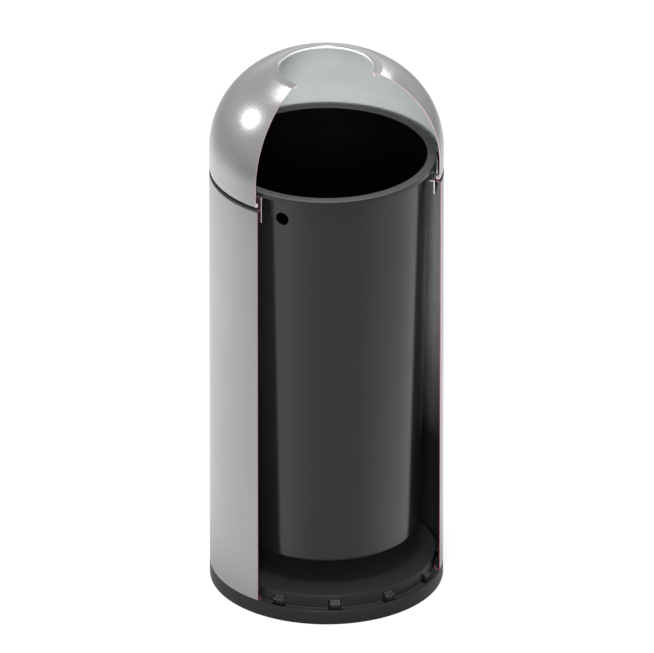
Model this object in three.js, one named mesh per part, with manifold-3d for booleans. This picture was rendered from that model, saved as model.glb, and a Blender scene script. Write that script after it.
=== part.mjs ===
// Dome top waste receptacle, shown as a sectioned specimen: the front sector of the
// dome and of the shell is cut away, so that the liner, its support ring and the
// clip-in base can be seen. Millimetres, +Z up, origin on the floor under the axis.
// Angles are in degrees about +Z, from the front (-Y) towards the right (+X).

import * as THREE from 'three';
import { mergeVertices } from 'three/addons/utils/BufferGeometryUtils.js';
import Module from 'manifold-3d';

const wasm = await Module();
wasm.setup();

// ---------------------------------------------------------------- driving dimensions

const BODY_R = 190; // outside radius of base, shell and dome skirt
const SHEET = 1.2; // gauge of the steel in the shell and the dome
const GAP = 0.3; // play between pieces that touch
const ROUND_STEPS = 60; // flats around a full turn
const CLEAR = 10; // cutting shapes reach this far past what they cut

// the section: one sector is taken out of the shell and its ring, one out of the dome
const CUT_FROM = -36;
const CUT_TO = 76.6;
const DOME_TURN = -1.2; // the dome stands turned by this much on the shell

// base moulding
const BAND_H = 24; // height of the visible floor band, up to the ledge
const FLOOR_Z = 46; // top of the floor and of the upstanding wall
const WALL_R = 177.5; // outside of the upstanding wall
const MOULD_T = 3; // wall thickness of the moulding
const FOOT_IN_R = 185.5; // inside of the band, where it stands on the ground
const FOOT_OUT_R = 189.2; // outside of the flat foot, inside the band's chamfer
const RIB_T = 2.4;
const RIB_CLEAR = 3; // the ribs end this far above the ground
const RIB_RINGS = [44, 110]; // radii of the round ribs
const RIB_STEPS = 24;
const SNAPS = 12; // snap tongues around the wall
const SNAP_FIRST = 4.5; // angle of one of them
const SNAP_WIDE = 24; // width of a tongue's window
const SNAP_TOP = 38.5; // top of the window, where the tongue is rooted
const SNAP_TIP_R = 184; // how far the tongue's tip stands out
const SNAP_TIP_Z = 31.5; // underside of the tip
const SNAP_TIP_H = 1.5; // height of the blunt tip
const SNAP_SLOT = 4; // free slot on both sides of the tongue

// shell
const SHELL_TOP = 732.5;
const SHELL_SHOULDER = 3.2; // outside radius of the bend under the dome
const HEM_R = 181.6; // inside of the turned-in bottom hem
const HEM_TOP = 30.8; // its free edge, caught under the snap tongues

// support ring inside the shell's mouth
const RING_R = 179.8; // outside radius
const RING_T = 1.5;
const RING_LOW = 708;
const TABS = 8; // upright tabs, with as many tabs bent inward between them
const UPRIGHT_AT = CUT_FROM; // one upright tab is centred on the left section
const UPRIGHT_DEG = 18;
const UPRIGHT_TOP = 753.5;
const UPRIGHT_IN_R = 171.5; // the top of an upright tab is bent in to this radius
const INWARD_DEG = 17;
const INWARD_R = 167.5; // reach of the tabs that centre the liner

// rubber buttons that carry the dome, pushed into holes in the shell's top flange
const BUTTON_AT = [99, 189, 279];
const BUTTON_CIRCLE_R = 184.6;
const BUTTON_R = 3.7;
const STEM_R = 2;
const BULB_R = 2.5;
const BUTTON_STEPS = 12;

// dome
const DOME_LOW = 737; // underside of the rolled bottom bead
const DOME_SPRING = 772.5; // where the straight skirt turns into the arc
const DOME_ARC_R = 152; // outside radius of that arc
const BEAD_R = 3.6; // outside radius of the bottom bead
const CREASE_R = 91; // the dome flattens inside this radius
const MOUTH_R = 77.2; // radius of the round mouth
const MOUTH_Z = 917; // top of the mouth's edge
const MOUTH_HEM = 6; // depth of the edge turned down into the mouth
const MOUTH_CURL = 2.5; // how far that edge is turned back under the dome

// liner
const LINER_T = 2.2;
const RIM_Z = 763;
const RIM_R = 178;
const RIM_LIP = 9.1; // depth of the lip turned down at the rim's outside
const LINER_TOP_R = 165.5; // outside radius just under the rim
const LINER_FOOT_R = 152.5; // outside radius at the bottom
const LINER_FOOT_Z = 92.6;
const LINER_CORNER = 9;
const PANEL_R = 128; // the middle of the bottom is raised inside this radius
const PANEL_UP = 4;
const FINGER_HOLE_AT = -25.8; // the one hole, near the front
const FINGER_R = 11.25;
const FINGER_Z = 717;

// ---------------------------------------------------------------- materials

const finish = (color, roughness, metalness) =>
  new THREE.MeshStandardMaterial({ color, roughness, metalness });

const steel = () => finish('#b4b2b6', 0.34, 1);
const bareSteel = () => finish('#c9cbca', 0.4, 1);
const linerBlack = () => finish('#3d3c3f', 0.45, 0);
const baseBlack = () => finish('#343335', 0.6, 0);
const rubber = () => finish('#1b1b1c', 0.85, 0);

// ---------------------------------------------------------------- helpers

const rad = THREE.MathUtils.degToRad;

// A closed geometry becomes a solid: only positions stay, shared corners are merged,
// collapsed triangles at the axis are dropped, and the faces are turned outwards.
function solid(geometry) {
  const bare = geometry.clone();
  bare.deleteAttribute('normal');
  bare.deleteAttribute('uv');
  const merged = mergeVertices(bare, 1e-4);
  const index = merged.index.array;
  const triangles = [];
  for (let i = 0; i < index.length; i += 3) {
    const [a, b, c] = [index[i], index[i + 1], index[i + 2]];
    if (a !== b && b !== c && c !== a) triangles.push([a, b, c]);
  }
  const position = merged.attributes.position.array;
  if (signedVolume(position, triangles) < 0) triangles.forEach((t) => t.reverse());
  const mesh = new wasm.Mesh({
    numProp: 3,
    vertProperties: Float32Array.from(position),
    triVerts: Uint32Array.from(triangles.flat()),
  });
  return new wasm.Manifold(mesh);
}

function signedVolume(position, triangles) {
  const corner = (i) => new THREE.Vector3().fromArray(position, i * 3);
  let sum = 0;
  for (const [a, b, c] of triangles) sum += corner(a).dot(corner(b).cross(corner(c)));
  return sum / 6;
}

// A solid becomes a named mesh of the scene.
function piece(name, body, material) {
  const { vertProperties, triVerts } = body.getMesh();
  const geometry = new THREE.BufferGeometry();
  geometry.setAttribute('position', new THREE.BufferAttribute(vertProperties, 3));
  geometry.setIndex(new THREE.BufferAttribute(triVerts, 1));
  geometry.computeVertexNormals();
  const mesh = new THREE.Mesh(geometry, material);
  mesh.name = name;
  return mesh;
}

// An outline of [radius, height] points, spun about +Z.
function spun(outline, steps = ROUND_STEPS) {
  return solid(spunGeometry(outline, steps));
}

function spunGeometry(outline, steps) {
  const points = outline.map(([r, z]) => new THREE.Vector2(r, z));
  if (outline[0][0] > 0) points.push(points[0].clone());
  return new THREE.LatheGeometry(points, steps).rotateX(Math.PI / 2);
}

// An outline of [radius, height] points, made `wide` across and set at an angle.
function radialBlock(outline, wide, angle) {
  const shape = new THREE.Shape(outline.map(([r, z]) => new THREE.Vector2(r, z)));
  const geometry = new THREE.ExtrudeGeometry(shape, { depth: wide, bevelEnabled: false });
  geometry.translate(0, 0, -wide / 2);
  geometry.rotateX(Math.PI / 2);
  geometry.rotateZ(rad(angle - 90));
  return solid(geometry);
}

// A rectangle of radii and heights, as a radial block.
function radialBox([r0, r1], [z0, z1], wide, angle) {
  return radialBlock([[r0, z0], [r1, z0], [r1, z1], [r0, z1]], wide, angle);
}

// A pie slice from one angle to another, between two heights, out past the body.
function slice(from, to, [z0, z1]) {
  const radius = 1.5 * BODY_R;
  const steps = Math.max(1, Math.ceil((to - from) / 30));
  const rim = Array.from({ length: steps + 1 }, (_, i) => {
    const angle = rad(from + ((to - from) * i) / steps);
    return new THREE.Vector2(radius * Math.sin(angle), -radius * Math.cos(angle));
  });
  const shape = new THREE.Shape([new THREE.Vector2(0, 0), ...rim]);
  const geometry = new THREE.ExtrudeGeometry(shape, { depth: z1 - z0, bevelEnabled: false });
  return solid(geometry.translate(0, 0, z0));
}

// Points along a round bend: centre, radius, and the angles it runs between, where 0
// points away from the axis and 90 points up.
function bend(r, z, radius, from, to, steps) {
  return Array.from({ length: steps + 1 }, (_, i) => {
    const angle = rad(from + ((to - from) * i) / steps);
    return [r + radius * Math.cos(angle), z + radius * Math.sin(angle)];
  });
}

// A bent sheet's outline: its middle line, thickened by half the gauge to each side.
function sheet(line, gauge) {
  const points = line.map(([r, z]) => new THREE.Vector2(r, z));
  const sides = [[], []];
  points.forEach((point, i) => {
    const back = points[Math.max(i - 1, 0)];
    const ahead = points[Math.min(i + 1, points.length - 1)];
    const into = point.equals(back) ? ahead.clone().sub(point) : point.clone().sub(back);
    const out = point.equals(ahead) ? into.clone() : ahead.clone().sub(point);
    into.normalize();
    out.normalize();
    const along = into.clone().add(out).normalize();
    const reach = gauge / 2 / Math.max(along.dot(into), 0.5);
    const normal = new THREE.Vector2(-along.y, along.x).multiplyScalar(reach);
    sides[0].push(point.clone().add(normal).toArray());
    sides[1].unshift(point.clone().sub(normal).toArray());
  });
  return [...sides[0], ...sides[1]];
}

const evenly = (count, first = 0) =>
  Array.from({ length: count }, (_, i) => first + (360 / count) * i);

// ---------------------------------------------------------------- base moulding

// One moulding: floor band, ledge, upstanding wall and floor, hollow underneath.
function baseSkin() {
  const edge = 1;
  const footChamfer = 1;
  const underFloor = FLOOR_Z - MOULD_T;
  const underLedge = BAND_H - MOULD_T;
  return spun([
    [0, underFloor],
    [WALL_R - MOULD_T, underFloor],
    [WALL_R - MOULD_T, underLedge],
    [FOOT_IN_R + edge, underLedge],
    [FOOT_IN_R, 0],
    [FOOT_OUT_R, 0],
    [BODY_R, footChamfer],
    [BODY_R, BAND_H - edge],
    [BODY_R - edge, BAND_H],
    [WALL_R, BAND_H],
    [WALL_R, FLOOR_Z - edge],
    [WALL_R - edge, FLOOR_Z],
    [0, FLOOR_Z],
  ]);
}

// Round and radial ribs under the floor, which stop short of the ground. They are
// rooted half a wall deep in the skin.
function baseRibs() {
  const sunk = MOULD_T / 2;
  const top = FLOOR_Z - sunk;
  const rings = RIB_RINGS.map((r) =>
    spun([[r, RIB_CLEAR], [r + RIB_T, RIB_CLEAR], [r + RIB_T, top], [r, top]], RIB_STEPS),
  );
  const between = evenly(SNAPS, SNAP_FIRST + 180 / SNAPS);
  const spokes = between.map((angle) =>
    radialBox([RIB_RINGS[0] + RIB_T / 2, WALL_R - sunk], [RIB_CLEAR, top], RIB_T, angle),
  );
  const gussets = between.map((angle) =>
    radialBox([WALL_R - sunk, FOOT_IN_R + sunk], [RIB_CLEAR, BAND_H - sunk], RIB_T, angle),
  );
  return wasm.Manifold.union([...rings, ...spokes, ...gussets]);
}

// The window of one snap: through the wall, and through the ledge under the tip.
function snapWindow(angle) {
  const innerR = WALL_R - 2 * MOULD_T;
  const ledgeR = SNAP_TIP_R + MOULD_T / 2;
  const below = BAND_H - 2 * MOULD_T;
  return radialBlock(
    [[innerR, BAND_H], [WALL_R - MOULD_T, BAND_H], [WALL_R - MOULD_T, below], [ledgeR, below],
      [ledgeR, SNAP_TOP], [innerR, SNAP_TOP]],
    SNAP_WIDE,
    angle,
  );
}

// A springy tongue, rooted at the top of its window. Its ramp lets the shell's hem
// ride over on the way down, and its flat underside then holds the hem.
function snapTongue(angle) {
  const root = SNAP_TOP + 2;
  const bendOut = SNAP_TOP + 0.5;
  const backR = WALL_R - MOULD_T;
  const faceR = WALL_R - 0.5;
  return radialBlock(
    [[backR, root], [faceR, root], [faceR, bendOut], [SNAP_TIP_R, SNAP_TIP_Z + SNAP_TIP_H],
      [SNAP_TIP_R, SNAP_TIP_Z], [SNAP_TIP_R - MOULD_T, SNAP_TIP_Z], [backR, bendOut - SNAP_TIP_H]],
    SNAP_WIDE - 2 * SNAP_SLOT,
    angle,
  );
}

function baseMoulding() {
  const snaps = evenly(SNAPS, SNAP_FIRST);
  const body = baseSkin()
    .add(baseRibs())
    .subtract(wasm.Manifold.union(snaps.map(snapWindow)))
    .add(wasm.Manifold.union(snaps.map(snapTongue)));
  return piece('base_moulding', body, baseBlack());
}

// ---------------------------------------------------------------- shell

// The rolled steel skin: a J-shaped hem at the bottom, a flange turned in at the top.
function shellSkin() {
  const half = SHEET / 2;
  const skinR = BODY_R - half;
  const hemLow = BAND_H + GAP + half;
  const hemBend = 1.6;
  const flangeZ = SHELL_TOP - half;
  const shoulder = SHELL_SHOULDER - half;
  const line = [
    [HEM_R + half, HEM_TOP],
    ...bend(HEM_R + half + hemBend, hemLow + hemBend, hemBend, 180, 270, 2),
    ...bend(skinR - hemBend, hemLow + hemBend, hemBend, 270, 360, 2),
    ...bend(skinR - shoulder, flangeZ - shoulder, shoulder, 0, 90, 2),
    [RING_R + GAP, flangeZ],
  ];
  const [holeR, holeLow, holeTop] = [STEM_R + GAP, SHELL_TOP - 3 * SHEET, SHELL_TOP + SHEET];
  const bar = [[0, holeLow], [holeR, holeLow], [holeR, holeTop], [0, holeTop]];
  const holes = BUTTON_AT.map((angle) => atButton(bar, angle));
  const body = spun(sheet(line, SHEET))
    .subtract(slice(CUT_FROM, CUT_TO, [0, SHELL_TOP + CLEAR]))
    .subtract(wasm.Manifold.union(holes));
  return piece('shell_skin', body, steel());
}

// A small turned solid, set on the circle of the rubber buttons.
function atButton(outline, angle) {
  const geometry = spunGeometry(outline, BUTTON_STEPS).translate(0, -BUTTON_CIRCLE_R, 0);
  return solid(geometry.rotateZ(rad(angle)));
}

// ---------------------------------------------------------------- support ring

// A rolled band welded inside the shell's flange. Its upper edge is slit into tabs:
// the upright ones carry the liner's lip on their bent tops, and those bent straight
// in at the flange centre the liner's wall.
function supportRing() {
  const half = RING_T / 2;
  const midR = RING_R - half;
  const turn = 2;
  const band = [[midR, RING_LOW], [midR, SHELL_TOP - RING_T - turn / 2]];
  const upright = [
    [midR, RING_LOW + RING_T],
    ...bend(midR - turn, UPRIGHT_TOP - half - turn, turn, 0, 90, 3),
    [UPRIGHT_IN_R, UPRIGHT_TOP - half],
  ];
  const inward = [
    [midR, RING_LOW + RING_T],
    ...bend(midR - turn, SHELL_TOP - half - turn, turn, 0, 90, 3),
    [INWARD_R, SHELL_TOP - half],
  ];
  const tall = [RING_LOW - CLEAR, UPRIGHT_TOP + CLEAR];
  const fan = (first, wide) =>
    wasm.Manifold.union(evenly(TABS, first).map((a) => slice(a - wide / 2, a + wide / 2, tall)));
  const body = spun(sheet(band, RING_T))
    .add(spun(sheet(upright, RING_T)).intersect(fan(UPRIGHT_AT, UPRIGHT_DEG)))
    .add(spun(sheet(inward, RING_T)).intersect(fan(UPRIGHT_AT + 180 / TABS, INWARD_DEG)))
    .subtract(slice(CUT_FROM, CUT_TO, tall));
  return piece('support_ring', body, bareSteel());
}

// ---------------------------------------------------------------- dome buttons

// A rubber button: a head on the flange, a stem through its hole and a bulb below.
function domeButton(angle, name) {
  const headLow = SHELL_TOP + GAP;
  const headTop = DOME_LOW - GAP;
  const edge = 1;
  const bulbTop = SHELL_TOP - SHEET - GAP;
  const bulbLow = bulbTop - 4;
  const outline = [
    [0, bulbLow],
    [STEM_R - edge, bulbLow],
    [BULB_R, bulbTop - edge],
    [BULB_R, bulbTop],
    [STEM_R, bulbTop],
    [STEM_R, headLow],
    [BUTTON_R, headLow],
    [BUTTON_R, headTop - edge],
    [BUTTON_R - edge, headTop],
    [0, headTop],
  ];
  return piece(name, atButton(outline, angle), rubber());
}

// ---------------------------------------------------------------- dome

// The pressed dome: a rolled bead at the bottom, a straight skirt, one wide arc, and
// a flatter zone around the mouth, whose edge is turned down and curled back.
function domeCover() {
  const half = SHEET / 2;
  const beadR = BEAD_R - half;
  const beadAt = [BODY_R - BEAD_R, DOME_LOW + BEAD_R];
  const arcAt = BODY_R - DOME_ARC_R;
  const arcR = DOME_ARC_R - half;
  const creaseDeg = THREE.MathUtils.radToDeg(Math.acos((CREASE_R - arcAt) / DOME_ARC_R));
  const edgeBend = 1.4;
  const mouthMid = MOUTH_R + half;
  const hemLow = MOUTH_Z - MOUTH_HEM + half;
  const profile = [
    ...bend(...beadAt, beadR, 90, 360, 5),
    ...bend(arcAt, DOME_SPRING, arcR, 0, creaseDeg, 8),
    ...bend(mouthMid + edgeBend, MOUTH_Z - half - edgeBend, edgeBend, 90, 180, 2),
    ...bend(mouthMid + edgeBend, hemLow + edgeBend, edgeBend, 180, 270, 2),
    [mouthMid + edgeBend + MOUTH_CURL, hemLow],
  ];
  const body = spun(sheet(profile, SHEET)).subtract(
    slice(CUT_FROM + DOME_TURN, CUT_TO + DOME_TURN, [DOME_LOW - CLEAR, MOUTH_Z + CLEAR]),
  );
  return piece('dome_cover', body, steel());
}

// ---------------------------------------------------------------- liner

// The tapered bucket: a flat rim with a turned-down lip that stands on the support
// ring, a finger hole to lift it by, and a bottom with a raised middle.
function linerBucket() {
  const half = LINER_T / 2;
  const low = LINER_FOOT_Z + half;
  const rimZ = RIM_Z - half;
  const rimBend = 1.6;
  const corner = LINER_CORNER - half;
  const footR = LINER_FOOT_R - half;
  const wallTopR = LINER_TOP_R - half;
  const profile = [
    [0, low + PANEL_UP],
    [PANEL_R, low + PANEL_UP],
    [PANEL_R + 1.5 * PANEL_UP, low],
    ...bend(footR - corner, low + corner, corner, 270, 360, 2),
    ...bend(wallTopR + rimBend, rimZ - rimBend, rimBend, 180, 90, 2),
    ...bend(RIM_R - half - rimBend, rimZ - rimBend, rimBend, 90, 0, 2),
    [RIM_R - half, RIM_Z - RIM_LIP],
  ];
  const body = spun(sheet(profile, LINER_T)).subtract(fingerHole());
  return piece('liner_bucket', body, linerBlack());
}

// A round bar straight through the liner's wall, to be cut out of it.
function fingerHole() {
  const bar = new THREE.CylinderGeometry(FINGER_R, FINGER_R, 3 * CLEAR, 28);
  bar.translate(0, -LINER_TOP_R, 0);
  bar.rotateZ(rad(FINGER_HOLE_AT));
  bar.translate(0, 0, FINGER_Z);
  return solid(bar);
}

// ---------------------------------------------------------------- assembly

const receptacle = new THREE.Group();

const standing = new THREE.Group();
standing.add(baseMoulding(), shellSkin(), supportRing());
const sides = ['right', 'back', 'left'];
BUTTON_AT.forEach((angle, i) => standing.add(domeButton(angle, `dome_button_${sides[i]}`)));

const lifting = new THREE.Group();
lifting.add(linerBucket(), domeCover());

receptacle.add(standing, lifting);

export default receptacle;
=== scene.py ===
# Looks of the sectioned dome top waste receptacle, built on its packed frame.
# Metres, +Z up, the front with its cut-away sector towards -Y. Angles run about +Z,
# from the front towards the right. A profile is drawn by radius and height.

import math

import bmesh
import bpy
from bpy.props import FloatProperty, FloatVectorProperty, IntProperty, PointerProperty
from bpy.types import Operator, Panel, PropertyGroup
from mathutils import Matrix, Vector


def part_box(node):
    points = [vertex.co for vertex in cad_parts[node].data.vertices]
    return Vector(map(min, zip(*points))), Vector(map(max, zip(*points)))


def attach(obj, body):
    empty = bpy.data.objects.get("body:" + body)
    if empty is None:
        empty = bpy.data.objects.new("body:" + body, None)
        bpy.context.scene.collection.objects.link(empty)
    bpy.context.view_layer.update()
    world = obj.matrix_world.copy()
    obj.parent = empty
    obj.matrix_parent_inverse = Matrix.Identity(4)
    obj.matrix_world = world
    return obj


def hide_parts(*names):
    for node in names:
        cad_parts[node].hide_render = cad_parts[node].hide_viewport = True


bl_info = {
    "name": "Dome top waste receptacle",
    "version": (1, 0, 0),
    "blender": (4, 5, 0),
    "location": "View3D > Sidebar > Receptacle",
    "description": "Builds the sectioned receptacle on its packed frame, with finishes and studio",
    "category": "Add Mesh",
}

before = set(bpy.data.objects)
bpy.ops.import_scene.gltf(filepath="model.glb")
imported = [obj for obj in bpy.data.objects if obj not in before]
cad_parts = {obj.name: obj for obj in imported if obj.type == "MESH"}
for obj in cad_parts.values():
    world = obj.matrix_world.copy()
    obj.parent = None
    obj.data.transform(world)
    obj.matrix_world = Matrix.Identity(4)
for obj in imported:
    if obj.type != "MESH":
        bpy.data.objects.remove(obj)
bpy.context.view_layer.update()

TINY = 1e-5  # metres; closer points are one point
ROUNDING = 0.0004  # metres; small rounding of moulded edges
SHARP = math.radians(32)  # edges that turn by more than this are shaded as sharp
FULL_TURN = 2 * math.pi


# ---------------------------------------------------------------- properties


def length(name, description, default):
    """A length in metres."""
    return FloatProperty(
        name=name, description=description, default=default, min=0.0, precision=4, unit="LENGTH"
    )


def angle(name, description, degrees):
    """An angle, which the sidebar shows in degrees."""
    return FloatProperty(
        name=name, description=description, default=math.radians(degrees), subtype="ANGLE"
    )


def colour(name, description, *rgb):
    """A linear colour."""
    return FloatVectorProperty(
        name=name, description=description, default=rgb, min=0.0, max=1.0, subtype="COLOR"
    )


def share(name, description, default):
    """A plain number from 0 to 1."""
    return FloatProperty(name=name, description=description, default=default, min=0.0, max=1.0)


class SectionSizes(PropertyGroup):
    """The sector that is cut out of shell, ring and dome"""

    start: angle("Start", "Left side of the cut in shell and ring", -36.0)
    end: angle("End", "Right side of the cut in shell and ring", 76.6)
    dome_turn: angle("Dome turn", "How far the dome stands turned on the shell", -1.2)
    column: angle("Column", "Angle between two columns of a round sheet", 1.5)


class BaseSizes(PropertyGroup):
    """The moulded floor base"""

    radius: length("Radius", "Outside of the floor band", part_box("base_moulding")[1].x)
    floor: length("Floor", "Top of the floor and its wall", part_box("base_moulding")[1].z)
    ledge: length("Ledge", "Top of the floor band", 0.024)
    wall: length("Wall", "Outside radius of the upstanding wall", 0.1775)
    thickness: length("Thickness", "Wall thickness of the moulding", 0.003)
    foot_inside: length("Foot inside", "Inside radius of the flat foot", 0.1855)
    foot_round: length("Foot round", "Rounding outside the flat foot", 0.0008)
    fillet: length("Fillet", "Rounding of the top edges", 0.001)
    column: angle("Column", "Angle between two columns of the moulding", 0.625)
    snaps: IntProperty(name="Snaps", description="Snap tongues around the wall", default=12)
    first_snap: angle("First snap", "Angle of one snap tongue", 4.5)
    window: angle("Window", "Half the angle of a tongue's window", 3.75)
    window_top: length("Window top", "Where the tongue is rooted", 0.0385)
    window_reach: length("Window reach", "Outer end of the window in the ledge", 0.1855)
    tongue: angle("Tongue", "Half the angle of a tongue", 2.5)
    tip_reach: length("Tip reach", "Radius of the tongue's tip", 0.184)
    tip_low: length("Tip low", "Underside of the tongue's tip", 0.0315)
    rib: length("Rib", "Thickness of the ribs under the floor", 0.0024)
    rib_clearance: length("Rib clearance", "Height of the ribs above the ground", 0.003)
    rib_ring_inner: length("Inner rib ring", "Radius of the inner round rib", 0.044)
    rib_ring_outer: length("Outer rib ring", "Radius of the outer round rib", 0.110)


class ShellSizes(PropertyGroup):
    """The rolled steel skin"""

    radius: length("Radius", "Outside of the shell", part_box("shell_skin")[1].x)
    low: length("Low", "Underside of the hem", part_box("shell_skin")[0].z)
    top: length("Top", "Top of the inturned flange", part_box("shell_skin")[1].z)
    gauge: length("Gauge", "Thickness of the sheet", 0.0012)
    shoulder: length("Shoulder", "Outside radius of the bend at the top", 0.0032)
    flange: length("Flange", "Inside radius of the top flange", 0.1801)
    hem: length("Hem", "Inside radius of the bottom hem", 0.1816)
    hem_top: length("Hem top", "Free edge of the hem", 0.0308)
    hem_bend: length("Hem bend", "Outside radius of the hem's bends", 0.0022)


class RingSizes(PropertyGroup):
    """The support ring, slit and bent into tabs"""

    radius: length("Radius", "Outside of the ring", 0.1798)
    low: length("Low", "Lower edge of the band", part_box("support_ring")[0].z)
    top: length("Top", "Top of the upright tabs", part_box("support_ring")[1].z)
    gauge: length("Gauge", "Thickness of the sheet", 0.0015)
    bend: length("Bend", "Outside radius of the tabs' bends", 0.00275)
    tabs: IntProperty(name="Tabs", description="Upright tabs, and inward tabs", default=8)
    upright: angle("Upright tab", "Angle that an upright tab takes", 18.0)
    upright_reach: length("Upright reach", "Radius that an upright tab's top reaches", 0.1715)
    inward: angle("Inward tab", "Angle that an inward tab takes", 17.0)
    inward_reach: length("Inward reach", "Radius that an inward tab reaches", 0.1675)
    column: angle("Column", "Angle between two columns of the ring", 1.0)


class ButtonSizes(PropertyGroup):
    """The rubber buttons under the dome"""

    circle: length("Circle", "Radius of the circle that the buttons stand on", 0.1846)
    head: length("Head", "Radius of a head", 0.0037)
    stem: length("Stem", "Radius of a stem", 0.002)
    bulb: length("Bulb", "Radius of the bulb under the flange", 0.0025)
    rounding: length("Rounding", "Rounding of head and bulb", 0.001)
    play: length("Play", "Gap between pieces that touch", 0.0003)


class DomeSizes(PropertyGroup):
    """The spun steel dome"""

    radius: length("Radius", "Outside of the skirt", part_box("dome_cover")[1].x)
    low: length("Low", "Underside of the bottom bead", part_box("dome_cover")[0].z)
    top: length("Top", "Top of the mouth's edge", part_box("dome_cover")[1].z)
    gauge: length("Gauge", "Thickness of the sheet", 0.0012)
    bead: length("Bead", "Outside radius of the rolled bottom bead", 0.0036)
    spring: length("Spring", "Height at which the skirt turns into the arc", 0.7725)
    arc: length("Arc", "Outside radius of the dome's arc", 0.152)
    crease: length("Crease", "Radius inside which the dome flattens", 0.091)
    mouth: length("Mouth", "Radius of the round mouth", 0.0772)
    lip: length("Lip", "Outside radius of the bends at the mouth", 0.002)
    hem: length("Hem", "Depth of the edge turned down into the mouth", 0.006)
    curl: length("Curl", "How far that edge turns back under the dome", 0.0025)


class LinerSizes(PropertyGroup):
    """The tapered liner"""

    low: length("Low", "Underside of the liner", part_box("liner_bucket")[0].z)
    rim: length("Rim", "Top of the rim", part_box("liner_bucket")[1].z)
    rim_radius: length("Rim radius", "Outside of the rim's lip", 0.178)
    lip: length("Lip", "Depth of the turned-down lip", 0.0091)
    thickness: length("Thickness", "Wall thickness", 0.0022)
    top_radius: length("Top radius", "Inside radius under the rim", 0.1633)
    foot_radius: length("Foot radius", "Inside radius at the bottom", 0.1503)
    corner: length("Corner", "Inside radius of the bottom corner", 0.0068)
    rim_bend: length("Rim bend", "Outside radius of the rim's bends", 0.0027)
    panel: length("Panel", "Radius of the raised middle of the bottom", 0.1276)
    panel_rise: length("Panel rise", "How far the middle is raised", 0.004)
    hole_at: angle("Finger hole", "Angle of the finger hole", -25.8)
    hole_height: length("Hole height", "Height of the finger hole", 0.717)
    hole: length("Hole", "Radius of the finger hole", 0.01125)


class Finishes(PropertyGroup):
    """Colours and gloss"""

    steel: colour("Steel", "Brushed steel of the shell", 0.435, 0.428, 0.44)
    dome_steel: colour("Dome steel", "Satin steel of the dome", 0.435, 0.428, 0.44)
    dome_inside: colour("Dome inside", "Dull inside of the dome", 0.88, 0.93, 0.925)
    shell_inside: colour("Shell inside", "Inside of the shell", 0.72, 0.71, 0.72)
    ring: colour("Ring steel", "Plain steel of the support ring", 0.66, 0.66, 0.67)
    sawn: colour("Sawn steel", "Bare cut faces of the support ring", 0.78, 0.78, 0.79)
    # Painted shade for the gap between support ring and shell, dark red-brown.
    gap_shade: colour("Gap shade", "Primer where the ring meets the shell", 0.032, 0.010, 0.013)
    # The shell's and the dome's cut faces carry one red paint, as a shaded and a lit copy: painted
    # shade on the shell's, painted light on the dome's.
    cut: colour("Cut faces", "Paint on the cut faces of the shell", 0.34, 0.10, 0.11)
    lit_dome_cut: colour("Dome cut faces", "Paint on the cut faces of the dome", 0.62, 0.42, 0.43)
    # Painted shade for the shadowed gap between shell and dome.
    seam_shade: colour("Seam shade", "Soil in the seam under the dome", 0.03, 0.032, 0.031)
    liner: colour("Liner", "Charcoal outside of the liner", 0.009, 0.0085, 0.0094)
    # Painted highlight: the rim's top is far lighter than the liner, for the light it catches.
    highlighted_liner_rim: colour("Liner rim", "Highlighted top of the liner's rim", 0.085, 0.083, 0.087)
    # Painted shade: the inside is far darker than the outside, for the shade deep in the bucket.
    shaded_liner_inside: colour("Liner inside", "Inside of the liner", 0.0012, 0.0008, 0.0014)
    base: colour("Base", "Charcoal moulding of the base", 0.015, 0.0144, 0.0155)
    rubber: colour("Rubber", "Rubber buttons", 0.012, 0.012, 0.012)
    floor: colour("Studio floor", "Floor under the receptacle", 0.93, 0.93, 0.93)
    satin: share("Satin", "Roughness of the shell's steel", 0.32)
    dome_satin: share("Dome satin", "Roughness of the dome's steel", 0.25)


class ReceptacleSettings(PropertyGroup):
    """Everything that a user would change"""

    section: PointerProperty(type=SectionSizes)
    base: PointerProperty(type=BaseSizes)
    shell: PointerProperty(type=ShellSizes)
    ring: PointerProperty(type=RingSizes)
    buttons: PointerProperty(type=ButtonSizes)
    dome: PointerProperty(type=DomeSizes)
    liner: PointerProperty(type=LinerSizes)
    finishes: PointerProperty(type=Finishes)


# ---------------------------------------------------------------- profiles and sheets


class Profile:
    """A line drawn in the front plane, to be spun about +Z."""

    def __init__(self, mesh, radius, height):
        self.mesh = mesh
        self.start = self.tip = mesh.verts.new((0, -radius, height))

    def straight(self, radius, height, pieces=1):
        """Goes straight on to a radius and height, in equal pieces."""
        start, end = self.tip.co.copy(), Vector((0, -radius, height))
        for i in range(pieces):
            made = bmesh.ops.extrude_vert_indiv(self.mesh, verts=[self.tip])
            self.tip = made["verts"][0]
            self.tip.co = start.lerp(end, (i + 1) / pieces)
        return self

    def bend(self, radius, height, degrees, steps):
        """Turns about a centre, positive from outwards to upwards."""
        made = bmesh.ops.spin(
            self.mesh,
            geom=[self.tip],
            cent=(0, -radius, height),
            axis=(-1, 0, 0),
            angle=math.radians(degrees),
            steps=steps,
        )
        self.tip = made["geom_last"][0]
        return self

    def close(self):
        """Joins the end to the start, for a profile with its full thickness."""
        self.mesh.edges.new((self.tip, self.start))
        return self


def spin_round(mesh, start, turn, column):
    """Spins the drawn profile about +Z, from one angle through a turn."""
    full = turn > FULL_TURN - TINY
    bmesh.ops.rotate(
        mesh, verts=mesh.verts, cent=(0, 0, 0), matrix=Matrix.Rotation(start, 3, "Z")
    )
    bmesh.ops.spin(
        mesh,
        geom=mesh.verts[:] + mesh.edges[:],
        cent=(0, 0, 0),
        axis=(0, 0, 1),
        angle=turn,
        steps=round(turn / column),
        use_merge=full,
    )
    bmesh.ops.remove_doubles(mesh, verts=mesh.verts, dist=TINY)
    bmesh.ops.recalc_face_normals(mesh, faces=mesh.faces)


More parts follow.
